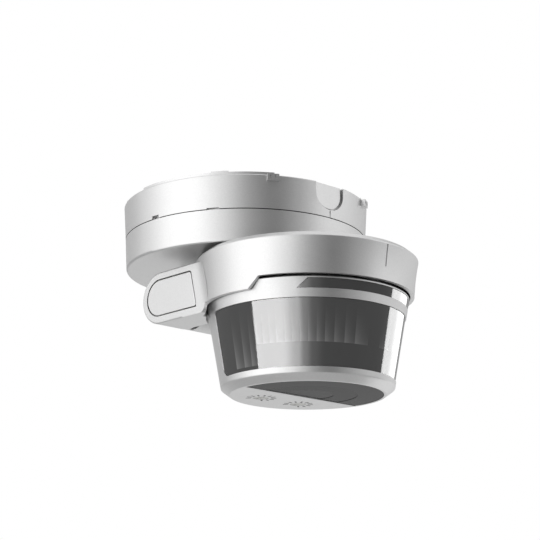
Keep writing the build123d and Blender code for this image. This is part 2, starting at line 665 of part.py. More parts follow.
# Inside the head
POST_ANGLES = [105.0, 180.0, 255.0]
POST_RADIUS_AT = 19.0


def sensor_carrier():
    """Moulded pillar on three legs, with a flat seat for each sensor."""
    body = Pos(0, HEAD_Y, SENSOR_BOARD - BOARD) * extrude(RegularPolygon(10.5, 6), -16.4)
    body -= disc(7.0, SENSOR_BOARD, -58.0, y=HEAD_Y)
    for angle in POST_ANGLES:
        x, y = at_angle(angle, POST_RADIUS_AT, HEAD_Y)
        body += disc(2.4, -60.0, -66.0, x, y)
        arm = block((-2.4, 2.4), (-POST_RADIUS_AT, -8.0), (-62.4, -60.0))
        body += Pos(0, HEAD_Y, 0) * Rot(0, 0, angle) * arm
    body += disc(6.4, -60.0, -62.4, y=HEAD_Y)
    return body


SEAT_ANGLES = [-60.0, 0.0, 60.0]


def heat_sensors():
    """Three pyroelectric sensors around the pillar and one that looks down."""
    can = Cylinder(4.6, 3.6) + Pos(0, 0, -1.55) * Cylinder(4.9, 0.5)
    can -= Pos(0, 0, 1.8) * Box(4.6, 3.4, 0.6)
    across = 10.5 * cos(radians(30))
    cans = [Pos(0, HEAD_Y, -62.4 - 1.8) * Rot(180, 0, 0) * can]
    for angle in SEAT_ANGLES:
        x, y = at_angle(angle, across + 1.8, HEAD_Y)
        cans.append(Pos(x, y, -51.5) * Rot(0, 0, angle) * Rot(90, 0, 0) * can)
    return cans


def sensor_board():
    body = disc(SENSOR_BOARD_RADIUS, SENSOR_BOARD, SENSOR_BOARD - BOARD, y=HEAD_Y)
    return body - block((-3, 3), (HEAD_Y + 19, HEAD_Y + 24), (-60, -30))


def controller_chip():
    return block((-5.0, 5.0), (HEAD_Y + 2, HEAD_Y + 12), (SENSOR_BOARD, SENSOR_BOARD + 1.4))


def status_led():
    body = drill_y(1.5, HEAD_Y - 18.0, HEAD_Y - 21.0, 0, SENSOR_BOARD + 1.5)
    return body + Pos(0, HEAD_Y - 21.0, SENSOR_BOARD + 1.5) * Sphere(1.5)


def light_sensor():
    return block((4.0, 7.0), (HEAD_Y - 21, HEAD_Y - 18), (SENSOR_BOARD, SENSOR_BOARD + 1.2))


def control_board():
    """Small board behind the pillar that carries the two adjusters."""
    return block((-15.0, 15.0), (HEAD_Y + 11.4, HEAD_Y + 16.0), (CONTROL_BOARD - BOARD, CONTROL_BOARD))


def adjuster_bodies():
    bodies = []
    for side in (-1, 1):
        x, y = side * DIAL_X, HEAD_Y + DIAL_Y
        case = block((x - 3.4, x + 3.4), (y - 3.0, y + 1.6), (-67.6, CONTROL_BOARD - BOARD))
        bodies.append(case)
    return bodies


def dial(side):
    """Knob sunk in the floor, turned with a screwdriver."""
    x, y = side * DIAL_X, HEAD_Y + DIAL_Y
    body = disc(DIAL_RADIUS, -67.7, FRAME_BOTTOM + 0.1, x, y)
    return body - block((x - 0.4, x + 0.4), (y - 2.0, y + 2.0), (FRAME_BOTTOM - 1, FRAME_BOTTOM + 1.1))


def save(name, shape):
    solids = shape if isinstance(shape, list) else [shape]
    parts = [Pos(0, 0, -BACK_FACE) * solid for item in solids for solid in item.solids()]
    shape = parts[0] if len(parts) == 1 else Compound(children=parts)
    export_step(shape, f"parts/{name}.step")


os.makedirs("parts", exist_ok=True)
caps = side_caps()
NODES = {
    "mounting_socket": mounting_socket(),
    "cable_grommet": cable_grommet(),
    "terminal_block": terminal_block(),
    "terminal_clamps": terminal_clamps(),
    "terminal_screws": terminal_screws(),
    "block_screws": block_screws(),
    "power_tray": power_tray(),
    "swivel_clip": swivel_clip(),
    "swivel_seal": swivel_seal(),
    "power_board": power_board(),
    "power_board_screws": power_board_screws(),
    "plug_pins": plug_pins(),
    "relay": relay(),
    "suppression_capacitor": suppression_capacitor(),
    "smoothing_capacitor": smoothing_capacitor(),
    "choke_coil": coil(),
    "swivel_base": swivel_base(),
    "hinge_axle": hinge_axle(),
    "friction_washers": friction_washers(),
    "hinge_washers": hinge_washers(),
    "hinge_screws": hinge_screws(),
    "head_housing": head_housing(),
    "side_cap_right": caps[0],
    "side_cap_left": caps[1],
    "lens_frame": lens_frame(),
    "detection_lens": detection_lens(),
    "strip_window": strip_window(),
    "floor_lens": floor_lens(),
    "frame_seal": frame_seal(),
    "sensor_carrier": sensor_carrier(),
    "heat_sensors": heat_sensors(),
    "sensor_board": sensor_board(),
    "controller_chip": controller_chip(),
    "status_led": status_led(),
    "light_sensor": light_sensor(),
    "control_board": control_board(),
    "adjuster_bodies": adjuster_bodies(),
    "time_dial": dial(-1),
    "light_dial": dial(1),
}
for name, shape in NODES.items():
    save(name, shape)
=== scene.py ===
from math import cos, radians, sin, tan

import bmesh
import bpy
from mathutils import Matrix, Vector


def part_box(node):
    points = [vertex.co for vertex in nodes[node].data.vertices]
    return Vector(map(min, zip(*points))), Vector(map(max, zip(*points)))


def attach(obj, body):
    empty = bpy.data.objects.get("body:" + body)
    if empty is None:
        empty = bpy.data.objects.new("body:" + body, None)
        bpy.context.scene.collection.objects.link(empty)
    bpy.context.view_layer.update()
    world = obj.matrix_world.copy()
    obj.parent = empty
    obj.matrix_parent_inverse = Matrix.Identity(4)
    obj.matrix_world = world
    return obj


# A motion detector that hangs from a ceiling: round base, hinge, ring and conical head with dark windows.
# Lengths are in metres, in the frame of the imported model: back face on z = 0, head towards -Y.
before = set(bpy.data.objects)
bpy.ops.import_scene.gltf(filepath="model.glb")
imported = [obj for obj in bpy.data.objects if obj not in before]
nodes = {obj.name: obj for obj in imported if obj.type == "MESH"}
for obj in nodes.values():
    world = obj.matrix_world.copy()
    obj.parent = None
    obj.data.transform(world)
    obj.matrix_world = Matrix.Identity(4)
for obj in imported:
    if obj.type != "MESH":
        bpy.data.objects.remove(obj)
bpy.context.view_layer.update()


# The studio: a photographer's tent of diffusing cloth, brightest at the left of the camera, with dark
# cards in front of the object, wide soft boxes that only the glossy windows mirror, and a pale floor.
CAMERA_PLACE = (-0.3844, -0.4263, -0.1759)
CAMERA_HEADING = 42.9
CAMERA_PITCH = 14.93
FOCAL_LENGTH = 113.13
SENSOR_WIDTH = 36.0
WHITE = (1.0, 1.0, 1.0, 1.0)
ROOM_LIGHT = 0.5
TENT_CENTRE = (0.0, -0.02, -0.036)
TENT_RADIUS = 0.9
TENT_STEPS = 180
# Elevation of a row of the cloth and the share of the upper glow that it gets
TENT_ROWS = [(-45, 0.0), (-12, 0.0), (-2, 0.35), (10, 0.9), (20, 1.0), (45, 1.0)]
# Azimuth from the camera to its right, glow of the lower cloth, glow of the upper cloth
TENT_GLOW = [(-180, 0.78, 0.45), (-130, 0.40, 0.60), (-100, 0.85, 1.05), (-75, 1.60, 1.65),
             (-45, 1.75, 1.70), (-20, 1.30, 1.00), (2, 0.40, 0.32), (26, 0.10, 0.11),
             (52, 0.40, 0.50), (80, 0.50, 1.25), (102, 0.50, 1.15), (130, 1.10, 0.80),
             (180, 0.78, 0.45)]
GLARE_RADIUS = 0.8
GLARE_HALF_HEIGHT = 0.30
GLARE_STEPS = 120
GLARE_STRENGTH = 51.0
# Two soft boxes: azimuth and share of the strength, from one edge to the other
GLARE_BOXES = [[(-66, 0.92), (-32, 0.97), (-13, 0.56), (-4, 0.23), (6, 0.08), (20, 0.032),
                (60, 0.026), (104, 0.012)],
               [(106, 0.38), (124, 0.22), (150, 0.08)]]
FLOOR_DROP = 1.6
FLOOR_SIZE = 12.0
FLOOR_GREY = 0.8
FLOOR_LIFT = 0.35


class Socket:
    """An output of a node that takes part in sums, products and comparisons."""

    def __init__(self, tree, output):
        self.tree, self.output = tree, output

    @classmethod
    def add(cls, tree, kind, settings=None, values=None, out=0):
        """Adds a node: its settings first, then the values or links of its inputs."""
        node = tree.nodes.new(kind)
        for name, value in (settings or {}).items():
            if name == "stops":
                ramp = node.color_ramp
                while len(ramp.elements) < len(value):
                    ramp.elements.new(1.0)
                for element, (place, colour) in zip(ramp.elements, value):
                    element.position, element.color = place, colour
            else:
                setattr(node, name, value)
        for key, value in (values or {}).items():
            if isinstance(value, Socket):
                tree.links.new(value.output, node.inputs[key])
            else:
                node.inputs[key].default_value = value
        return cls(tree, node.outputs[out]) if node.outputs else node

    def math(self, operation, *others, reverse=False):
        """A Math node on this value and the others, or on the others and this value."""
        operands = (*others, self) if reverse else (self, *others)
        return Socket.add(self.tree, "ShaderNodeMath", {"operation": operation}, dict(enumerate(operands)))

    def __add__(self, other):
        return self.math("ADD", other)

    def __radd__(self, other):
        return self.math("ADD", other, reverse=True)

    def __sub__(self, other):
        return self.math("SUBTRACT", other)

    def __rsub__(self, other):
        return self.math("SUBTRACT", other, reverse=True)

    def __mul__(self, other):
        return self.math("MULTIPLY", other)

    def __rmul__(self, other):
        return self.math("MULTIPLY", other, reverse=True)

    def __truediv__(self, other):
        return self.math("DIVIDE", other)

    def __pow__(self, other):
        return self.math("POWER", other)

    def __gt__(self, other):
        return self.math("GREATER_THAN", other)

    def __lt__(self, other):
        return self.math("LESS_THAN", other)

    def clamped(self):
        return self.math("MAXIMUM", 0.0).math("MINIMUM", 1.0)

    def ramp_between(self, low, high):
        """0 at low and 1 at high, straight between and flat outside."""
        return ((self - low) / (high - low)).clamped()


def grey(value):
    return (value, value, value, 1.0)


def place_camera():
    """The camera looks up at the detector from below and from the left of its front."""
    camera = bpy.data.objects.new("camera", bpy.data.cameras.new("camera"))
    camera.data.lens = FOCAL_LENGTH
    camera.data.sensor_width = SENSOR_WIDTH
    camera.location = CAMERA_PLACE
    heading, pitch = radians(CAMERA_HEADING), radians(CAMERA_PITCH)
    aim = Vector((cos(pitch) * sin(heading), cos(pitch) * cos(heading), sin(pitch)))
    camera.rotation_euler = aim.to_track_quat("-Z", "Y").to_euler()
    bpy.context.scene.collection.objects.link(camera)
    bpy.context.scene.camera = camera


def white_room():
    """White to the camera and in reflections, and a plain level of light on the object."""
    world = bpy.data.worlds.new("room")
    bpy.context.scene.world = world
    world.use_nodes = True
    tree = world.node_tree
    tree.nodes.clear()
    rays = tree.nodes.new("ShaderNodeLightPath").outputs
    seen = Socket(tree, rays["Is Camera Ray"]) + Socket(tree, rays["Is Glossy Ray"])
    seen = (seen + Socket(tree, rays["Is Transmission Ray"])).clamped()
    strength = ROOM_LIGHT + (1.0 - ROOM_LIGHT) * seen
    light = Socket.add(tree, "ShaderNodeBackground", None, {"Color": WHITE, "Strength": strength})
    Socket.add(tree, "ShaderNodeOutputWorld", None, {"Surface": light})


def stop_between(stops, place):
    """Values between neighbouring stops, eased so that no crease shows."""
    for low, high in zip(stops, stops[1:]):
        if low[0] <= place <= high[0]:
            share = (place - low[0]) / (high[0] - low[0])
            share = share * share * (3 - 2 * share)
            return [a + share * (b - a) for a, b in zip(low[1:], high[1:])]
    return list(stops[-1][1:])


def cloth_wall(name, columns, radius, strength, clear=False):
    """Glowing wall round the object: columns are (azimuth, [(height, glow), ...]).

    A clear wall lets the light of the cloth behind it through.
    """
    shape = bmesh.new()
    layer = shape.loops.layers.float_color.new("glow")
    heading = radians(CAMERA_HEADING)
    towards = Vector((-sin(heading), -cos(heading), 0))
    side = Vector((cos(heading), -sin(heading), 0))
    made = []
    for azimuth, rows in columns:
        turn = radians(azimuth)
        foot = Vector(TENT_CENTRE) + (towards * cos(turn) + side * sin(turn)) * radius
        made.append([(shape.verts.new(foot + Vector((0, 0, height))), glow) for height, glow in rows])
    for left, right in zip(made, made[1:]):
        for low in range(len(left) - 1):
            corners = (left[low], right[low], right[low + 1], left[low + 1])
            face = shape.faces.new([vertex for vertex, glow in corners])
            for loop, (vertex, glow) in zip(face.loops, corners):
                loop[layer] = grey(glow)
    mesh = bpy.data.meshes.new(name)
    shape.to_mesh(mesh)
    wall = bpy.data.objects.new(name, mesh)
    bpy.context.scene.collection.objects.link(wall)
    cloth = bpy.data.materials.new(name + "_cloth")
    cloth.use_nodes = True
    tree = cloth.node_tree
    tree.nodes.clear()
    glow = Socket.add(tree, "ShaderNodeVertexColor", {"layer_name": "glow"})
    light = Socket.add(tree, "ShaderNodeEmission", None, {"Color": glow, "Strength": strength})
    if clear:
        passing = Socket.add(tree, "ShaderNodeBsdfTransparent", None, {"Color": WHITE})
        light = Socket.add(tree, "ShaderNodeAddShader", None, {0: light, 1: passing})
    Socket.add(tree, "ShaderNodeOutputMaterial", None, {"Surface": light})
    mesh.materials.append(cloth)
    wall.visible_camera = False
    wall.visible_shadow = False
    return wall


def light_tent():
    """Open cylinder of diffusing cloth and dark cards round the object, out of the camera's sight."""
    columns = []
    for step in range(TENT_STEPS + 1):
        azimuth = -180 + 360 * step / TENT_STEPS
        below, above = stop_between(TENT_GLOW, azimuth)
        rows = [(TENT_RADIUS * tan(radians(elevation)), below + share * (above - below))
                for elevation, share in TENT_ROWS]
        columns.append((azimuth, rows))
    cloth_wall("light_tent", columns, TENT_RADIUS, 1.0)


def glare_boxes():
    """Wide soft boxes that only the glossy windows see."""
    boxes = []
    for number, stops in enumerate(GLARE_BOXES):
        start, end = stops[0][0], stops[-1][0]
        columns = []
        for step in range(GLARE_STEPS + 1):
            azimuth = start + (end - start) * step / GLARE_STEPS
            glow = stop_between(stops, azimuth)[0]
            columns.append((azimuth, [(-GLARE_HALF_HEIGHT, glow), (GLARE_HALF_HEIGHT, glow)]))
        box = cloth_wall(f"glare_box_{number}", columns, GLARE_RADIUS, GLARE_STRENGTH, clear=True)
        box.visible_diffuse = False
        boxes.append(box)
    return boxes


def pale_floor():
    """Floor far below the object, a little lighter to the camera than the light on it makes it."""
    mesh = bpy.data.meshes.new("floor")
    shape = bmesh.new()
    half = FLOOR_SIZE / 2
    corners = ((-half, -half), (half, -half), (half, half), (-half, half))
    shape.faces.new([shape.verts.new((x, y, -FLOOR_DROP)) for x, y in corners])
    shape.to_mesh(mesh)
    floor = bpy.data.objects.new("floor", mesh)
    bpy.context.scene.collection.objects.link(floor)
    paint = bpy.data.materials.new("floor_paint")
    paint.use_nodes = True
    tree = paint.node_tree
    shader = tree.nodes["Principled BSDF"]
    shader.inputs["Base Color"].default_value = grey(FLOOR_GREY)
    shader.inputs["Emission Color"].default_value = WHITE
    rays = tree.nodes.new("ShaderNodeLightPath").outputs
    lift = Socket(tree, rays["Is Camera Ray"]) * FLOOR_LIFT
    tree.links.new(lift.output, shader.inputs["Emission Strength"])
    mesh.materials.append(paint)


place_camera()
white_room()
light_tent()
glare = glare_boxes()
pale_floor()
bpy.context.scene.view_settings.view_transform = "Standard"


# Mounting socket: the upper round shell that is screwed to the ceiling, with its knock-out, index line
# and two snap nubs. Injection moulded and sprayed with satin silver paint that holds fine metal flakes.
SILVER = 0.66
SILVER_METAL = 0.9
SILVER_ROUGHNESS = 0.34
FLAKE_SIZE = 0.00035
FLAKE_CONTRAST = 0.035
CLOUD_SIZE = 0.012
PEEL_SIZE = 0.0016
PEEL_DEPTH = 0.000012
# The seam between the two shells, whose gap is coloured near black as painted shade
SEAM_TOP = -0.01286
SEAM_BOTTOM = -0.01324
SEAM_RADIUS = 0.04192
# Near-black colour that paints the shade inside the seam
SEAM_SHADE = (0.02, 0.02, 0.02, 1.0)


class Finish:
    """A material with one shader, and the coordinates its pattern is worked out from."""

    def __init__(self, name, colour, roughness, metallic=0.0):
        self.material = bpy.data.materials.new(name)
        self.material.use_nodes = True
        self.tree = self.material.node_tree
        self.shader = self.tree.nodes["Principled BSDF"]
        self.put("Base Color", colour)
        self.put("Roughness", roughness)
        self.put("Metallic", metallic)
        self.place = Socket.add(self.tree, "ShaderNodeTexCoord", out="Object")

    def put(self, name, value):
        """Sets one of the shader's inputs to a value or a link."""
        if isinstance(value, Socket):
            self.tree.links.new(value.output, self.shader.inputs[name])
        else:
            self.shader.inputs[name].default_value = value

    def axes(self):
        """x, y and z of the place on the piece, in metres."""
        split = Socket.add(self.tree, "ShaderNodeSeparateXYZ", None, {0: self.place})
        return [Socket(self.tree, output) for output in split.output.node.outputs]

    def noise(self, size, detail=2.0, stretch=None):
        """Smooth noise from 0 to 1 whose spots are about size metres across."""
        place = self.place
        if stretch:
            place = Socket.add(self.tree, "ShaderNodeMapping", None, {"Vector": place, "Scale": stretch})
        return Socket.add(self.tree, "ShaderNodeTexNoise", None,
                          {"Vector": place, "Scale": 1 / size, "Detail": detail, "Roughness": 0.5})

    def cells(self, size):
        """A random grey from 0 to 1 for each flake of about size metres."""
        cells = Socket.add(self.tree, "ShaderNodeTexVoronoi", None,
                           {"Vector": self.place, "Scale": 1 / size}, out="Color")
        return Socket.add(self.tree, "ShaderNodeSeparateColor", None, {0: cells})

    def mix(self, share, first, second):
        """Colour between two colours, by the numbers of the node's colour sockets."""
        return Socket.add(self.tree, "ShaderNodeMix", {"data_type": "RGBA"},
                          {0: share, 6: first, 7: second}, out=2)

    def bump(self, height, distance):
        """Raises the surface by up to distance metres where height is 1."""
        self.put("Normal", Socket.add(self.tree, "ShaderNodeBump", None,
                                      {"Height": height, "Distance": distance, "Strength": 1.0}))

    def coat(self, *names):
        """Gives CAD nodes this finish."""
        for name in names:
            nodes[name].data.materials.clear()
            nodes[name].data.materials.append(self.material)
        return self


def tint(colour, factor):
    """The same colour, lighter or darker."""
    return (*(min(1.0, part * factor) for part in colour[:3]), 1.0)


def silver_look(finish):
    """Fine flakes, faint clouds and orange peel, and painted shade inside the seam."""
    flakes = finish.cells(FLAKE_SIZE)
    cloud = finish.noise(CLOUD_SIZE, 3.0)
    sprayed = finish.mix((0.7 * flakes + 0.3 * cloud).clamped(),
                         tint(grey(SILVER), 1 - FLAKE_CONTRAST), tint(grey(SILVER), 1 + FLAKE_CONTRAST))
    x, y, z = finish.axes()
    reach = x * x + y * y
    # Painted shade: the gap between the shells is coloured near black
    in_seam = (z > SEAM_BOTTOM) * (z < SEAM_TOP) * (reach < SEAM_RADIUS ** 2)
    finish.put("Base Color", finish.mix(in_seam, sprayed, SEAM_SHADE))
    finish.put("Roughness", SILVER_ROUGHNESS - 0.02 + 0.04 * finish.noise(0.004))
    finish.bump(finish.noise(PEEL_SIZE), PEEL_DEPTH)
    return finish


silver_paint = silver_look(Finish("silver_paint", grey(SILVER), SILVER_ROUGHNESS, SILVER_METAL))
silver_paint.coat("mounting_socket")


# Cable grommet: a soft rubber plug in the back plate, pierced by the supply cable when it is installed.
# Moulded in black rubber with a dull, slightly dusty skin, and pressed into its hole.
RUBBER = (0.022, 0.022, 0.024, 1.0)
DUST_SIZE = 0.0025
RUBBER_GRAIN = 0.0004


def dusty_rubber(name):
    """Black rubber with pale dust in patches."""
    finish = Finish(name, RUBBER, 0.75)
    dust = finish.noise(DUST_SIZE, 4.0)
    finish.put("Base Color", finish.mix(dust, tint(RUBBER, 0.8), tint(RUBBER, 1.7)))
    finish.put("Roughness", 0.65 + 0.2 * dust)
    finish.bump(finish.noise(RUBBER_GRAIN), 0.00002)
    return finish


rubber = dusty_rubber("black_rubber").coat("cable_grommet")


# Terminal block: a grey plastic strip of five screw terminals on two posts of the socket.
# Moulded with a fine spark-eroded grain; brass cages pinch the wires under zinc plated screws.
TERMINAL_GREY = (0.42, 0.43, 0.44, 1.0)
BRASS = (0.72, 0.52, 0.22, 1.0)
ZINC = (0.60, 0.61, 0.63, 1.0)
# Sizes of the flow clouds in plastic, and of the marks and stains on metal
FLOW_SIZE = 0.006
MARK_SIZE = 0.0005
STAIN_SIZE = 0.003


def moulded(name, colour, roughness, grain=0.0003, depth=0.000015):
    """Plastic with a fine grain and faint flow clouds."""
    finish = Finish(name, colour, roughness)
    clouds = finish.noise(FLOW_SIZE, 3.0)
    finish.put("Base Color", finish.mix(clouds, tint(colour, 0.94), tint(colour, 1.06)))
    finish.put("Roughness", roughness - 0.04 + 0.08 * clouds)
    finish.bump(finish.noise(grain), depth)
    return finish


def plated(name, colour, roughness, brush=(1.0, 1.0, 1.0)):
    """Metal with drawing or turning marks and faint stains."""
    finish = Finish(name, colour, roughness, 1.0)
    marks = finish.noise(MARK_SIZE, 4.0, brush)
    stains = finish.noise(STAIN_SIZE, 3.0)
    finish.put("Base Color", finish.mix(stains, tint(colour, 0.88), tint(colour, 1.06)))
    finish.put("Roughness", roughness - 0.06 + 0.16 * marks)
    finish.bump(marks, 0.000008)
    return finish


moulded("terminal_plastic", TERMINAL_GREY, 0.5).coat("terminal_block")
brass = plated("bare_brass", BRASS, 0.3, brush=(1.0, 6.0, 1.0)).coat("terminal_clamps")
zinc = plated("zinc_plate", ZINC, 0.34).coat("terminal_screws", "block_screws")


# Power tray: a black dish that snaps into the socket and holds the lower shell by a spring ring,
# with a flat rubber ring against draughts. Moulded; the ring is bent from flat spring steel.
TRAY_BLACK = (0.035, 0.036, 0.038, 1.0)
SPRING_STEEL = (0.42, 0.42, 0.44, 1.0)

tray_plastic = moulded("tray_plastic", TRAY_BLACK, 0.55, grain=0.0005, depth=0.00003)
tray_plastic.coat("power_tray")
spring_steel = plated("spring_steel", SPRING_STEEL, 0.38, brush=(1.0, 1.0, 8.0)).coat("swivel_clip")
rubber.coat("swivel_seal")


# Power board: a green glass-fibre board on four pegs of the tray, under four zinc plated screws.
# Copper tracks show as lighter lines under the solder mask; five brass pins rise to the terminals.
MASK_GREEN = (0.012, 0.11, 0.045, 1.0)
TRACK_GREEN = (0.03, 0.20, 0.08, 1.0)
TRACK_PITCH = 0.0026
TRACK_SHARE = 0.45
PATCH_SIZE = 0.009
SOLDER = (0.62, 0.63, 0.64, 1.0)
PIN_COUNT = 5
PIN_PITCH = 0.007
PIN_Y = 0.0235
JOINT_RADIUS = 0.0014
JOINT_FLATNESS = 0.5


def printed_board(name):
    """Solder mask over tracks that run across in some patches and along in the others."""
    finish = Finish(name, MASK_GREEN, 0.32)
    x, y, z = finish.axes()
    across, along = [(axis / TRACK_PITCH).math("FRACT") < TRACK_SHARE for axis in (x, y)]
    patch = finish.noise(PATCH_SIZE, 0.0) > 0.5
    tracks = patch * across + (1 - patch) * along
    finish.put("Base Color", finish.mix(tracks.clamped(), MASK_GREEN, TRACK_GREEN))
    finish.put("Roughness", 0.28 + 0.1 * finish.noise(0.002))
    finish.bump(tracks, 0.00003)
    return finish


class Growth:
    """A Geometry Nodes tree with named inputs, grown into a plain mesh."""

    def __init__(self, name, **inputs):
        self.name, self.inputs = name, inputs
        self.tree = bpy.data.node_groups.new(name, "GeometryNodeTree")
        self.keys = {}
        for label, value in inputs.items():
            kind = {int: "NodeSocketInt", float: "NodeSocketFloat"}.get(type(value), "NodeSocketMaterial")
            socket = self.tree.interface.new_socket(label, in_out="INPUT", socket_type=kind)
            self.keys[label] = socket.identifier
        self.tree.interface.new_socket("Geometry", in_out="OUTPUT", socket_type="NodeSocketGeometry")
        self.source = self.tree.nodes.new("NodeGroupInput")

    def given(self, label):
        """The tree's input with that name."""
        return Socket(self.tree, self.source.outputs[label])

    def add(self, kind, settings=None, values=None):
        """Adds a node to the tree."""
        return Socket.add(self.tree, kind, settings, values)

    def move(self, shape, offset):
        """The shape in its place on the detector."""
        return self.add("GeometryNodeTransform", None, {0: shape, "Translation": offset})

    def grow(self, shape):
        """Realizes and paints the shape, and returns it as a plain mesh object."""
        shape = self.add("GeometryNodeRealizeInstances", None, {0: shape})
        shape = self.add("GeometryNodeSetMaterial", None, {0: shape, "Material": self.given("Paint")})
        self.add("NodeGroupOutput", None, {0: shape})
        carrier = bpy.data.objects.new(self.name, bpy.data.meshes.new(self.name))
        bpy.context.scene.collection.objects.link(carrier)
        modifier = carrier.modifiers.new(self.name, "NODES")
        modifier.node_group = self.tree
        for label, key in self.keys.items():
            modifier[key] = self.inputs[label]
        graph = bpy.context.evaluated_depsgraph_get()
        mesh = bpy.data.meshes.new_from_object(carrier.evaluated_get(graph), depsgraph=graph)
        carrier.modifiers.remove(modifier)
        carrier.data = mesh
        mesh.name = self.name
        return carrier


def solder_joints():
    """A row of domed joints under the board, one for each pin."""
    growth = Growth("solder_joints", Count=PIN_COUNT, Pitch=PIN_PITCH, Radius=JOINT_RADIUS,
                    Paint=solder.material)
    offset = growth.add("ShaderNodeCombineXYZ", None, {0: growth.given("Pitch")})
    row = growth.add("GeometryNodeMeshLine", {"mode": "OFFSET"},
                     {"Count": growth.given("Count"), "Offset": offset})
    dome = growth.add("GeometryNodeMeshIcoSphere", None,
                      {"Radius": growth.given("Radius"), "Subdivisions": 2})
    dome = growth.add("GeometryNodeTransform", None, {0: dome, "Scale": (1.0, 1.0, JOINT_FLATNESS)})
    row = growth.add("GeometryNodeInstanceOnPoints", None, {0: row, "Instance": dome})
    start = -PIN_PITCH * (PIN_COUNT - 1) / 2
    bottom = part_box("power_board")[0][2]
    joints = growth.grow(growth.move(row, (start, PIN_Y, bottom)))
    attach(joints, "base")


printed_board("power_board_mask").coat("power_board")
zinc.coat("power_board_screws")
brass.coat("plug_pins")
solder = plated("solder", SOLDER, 0.22)
solder_joints()


# Relay and capacitors: bought-in parts that stand on the power board on soldered legs.
# A blue moulded case, a glossy yellow film capacitor, and an electrolytic can in a black sleeve.
RELAY_BLUE = (0.02, 0.10, 0.30, 1.0)
FILM_YELLOW = (0.66, 0.42, 0.03, 1.0)
SLEEVE_BLACK = (0.02, 0.021, 0.026, 1.0)
SLEEVE_STRIPE = (0.55, 0.56, 0.58, 1.0)
SLEEVE_CENTRE = (-0.017, -0.009)
# Bearings of the stripe's edges round the can, in radians
STRIPE_START = 1.2
STRIPE_END = 1.9


def striped_sleeve(name):
    """Shrink sleeve with the pale stripe that marks the minus leg."""
    finish = moulded(name, SLEEVE_BLACK, 0.28, grain=0.0008, depth=0.00001)
    x, y, z = finish.axes()
    bearing = (x - SLEEVE_CENTRE[0]).math("ARCTAN2", y - SLEEVE_CENTRE[1])
    on_stripe = (bearing > STRIPE_START) * (bearing < STRIPE_END)
    finish.put("Base Color", finish.mix(on_stripe, SLEEVE_BLACK, SLEEVE_STRIPE))
    return finish


moulded("relay_case", RELAY_BLUE, 0.42).coat("relay")
moulded("film_case", FILM_YELLOW, 0.22, grain=0.0012, depth=0.00002).coat("suppression_capacitor")
striped_sleeve("shrink_sleeve").coat("smoothing_capacitor")


# Choke: a ferrite bobbin wound with one layer of enamelled copper wire, against mains noise.
# The bobbin is pressed and fired; the wire runs round its waist as one helix.
FERRITE = (0.07, 0.068, 0.065, 1.0)
ENAMEL = (0.52, 0.20, 0.07, 1.0)
WIRE_RADIUS = 0.00025
TURN_PITCH = 2.1 * WIRE_RADIUS
WAIST_RADIUS = 0.0030
BOBBIN_FLANGE = 0.0012
STEPS_PER_TURN = 28


def choke_winding():
    """One helix of wire between the bobbin's flanges."""
    low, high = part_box("choke_coil")
    height = high[2] - low[2] - 2 * BOBBIN_FLANGE - 4 * WIRE_RADIUS
    growth = Growth("choke_winding", Radius=WAIST_RADIUS + WIRE_RADIUS, Height=height,
                    Wire=WIRE_RADIUS, Turns=height / TURN_PITCH, Paint=enamel.material)
    helix = growth.add("GeometryNodeCurveSpiral", None,
                       {"Resolution": STEPS_PER_TURN, "Rotations": growth.given("Turns"),
                        "Start Radius": growth.given("Radius"), "End Radius": growth.given("Radius"),
                        "Height": growth.given("Height")})
    wire = growth.add("GeometryNodeCurvePrimitiveCircle", None,
                      {"Resolution": 8, "Radius": growth.given("Wire")})
    coil = growth.add("GeometryNodeCurveToMesh", None, {0: helix, "Profile Curve": wire, "Fill Caps": True})
    centre_x, centre_y = [(low[axis] + high[axis]) / 2 for axis in (0, 1)]
    foot = low[2] + BOBBIN_FLANGE + 2 * WIRE_RADIUS
    winding = growth.grow(growth.move(coil, (centre_x, centre_y, foot)))
    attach(winding, "base")


moulded("ferrite", FERRITE, 0.6, grain=0.0002, depth=0.00002).coat("choke_coil")
enamel = plated("enamelled_wire", ENAMEL, 0.25)
choke_winding()


# Swivel base: the lower round shell with the hinge knuckle, turning on the tray.
# Moulded and painted like the socket above it, so that both read as one drum with a fine seam.
silver_paint.coat("swivel_base")


# Hinge: a steel axle pressed into the knuckle, spring washers that hold the head where it is set,
# and a zinc plated screw with a flat washer at each end.
AXLE_STEEL = (0.55, 0.56, 0.57, 1.0)

plated("axle_steel", AXLE_STEEL, 0.26, brush=(8.0, 1.0, 1.0)).coat("hinge_axle")
spring_steel.coat("friction_washers")
zinc.coat("hinge_washers", "hinge_screws")


# Head housing: fork arms, trough, roof and ring in one moulding, painted silver, with two D-shaped
# covers snapped over the hinge screws. The front corner of each arm rolls up into the ring's foot.
HEAD_Y = -0.031
ARM_SIDE = 0.03301
ARM_UNDERSIDE = -0.04611
RING_FOOT = -0.0430
RING_FOOT_RADIUS = 0.03565
CORNER_INNER_RADIUS = 0.0350
CORNER_OVERLAP = 0.0003
CAP_FRONT = -0.0124
CAP_GROOVE_FOOT = -0.0437
CAP_STEP = 0.00001
# Where the corner starts on the arm's flat side, where its underside starts to roll up, and its end
CORNER_START = -0.0055
CORNER_ROLL = -0.0144
CORNER_END = -0.0168
ROLL_STEPS = 10


def circle_x(radius, y):
    """Half width of a circle round the head's axis, at a given y."""
    return (radius ** 2 - (y - HEAD_Y) ** 2) ** 0.5


def corner_section(y):
    """Outline of an arm's corner at one y, as (distance from the middle, height) of its four corners."""
    share = max(0.0, (CORNER_ROLL - y) / (CORNER_ROLL - CORNER_END))
    bottom = RING_FOOT + (ARM_UNDERSIDE - RING_FOOT) * (1 - share ** 2) ** 0.5
    top = CAP_GROOVE_FOOT if y >= CAP_FRONT else RING_FOOT + CORNER_OVERLAP
    outer = max(ARM_SIDE, circle_x(RING_FOOT_RADIUS, y)) if share else ARM_SIDE
    inner = circle_x(CORNER_INNER_RADIUS, y)
    return (outer, bottom), (inner, bottom), (inner, top), (outer, top)


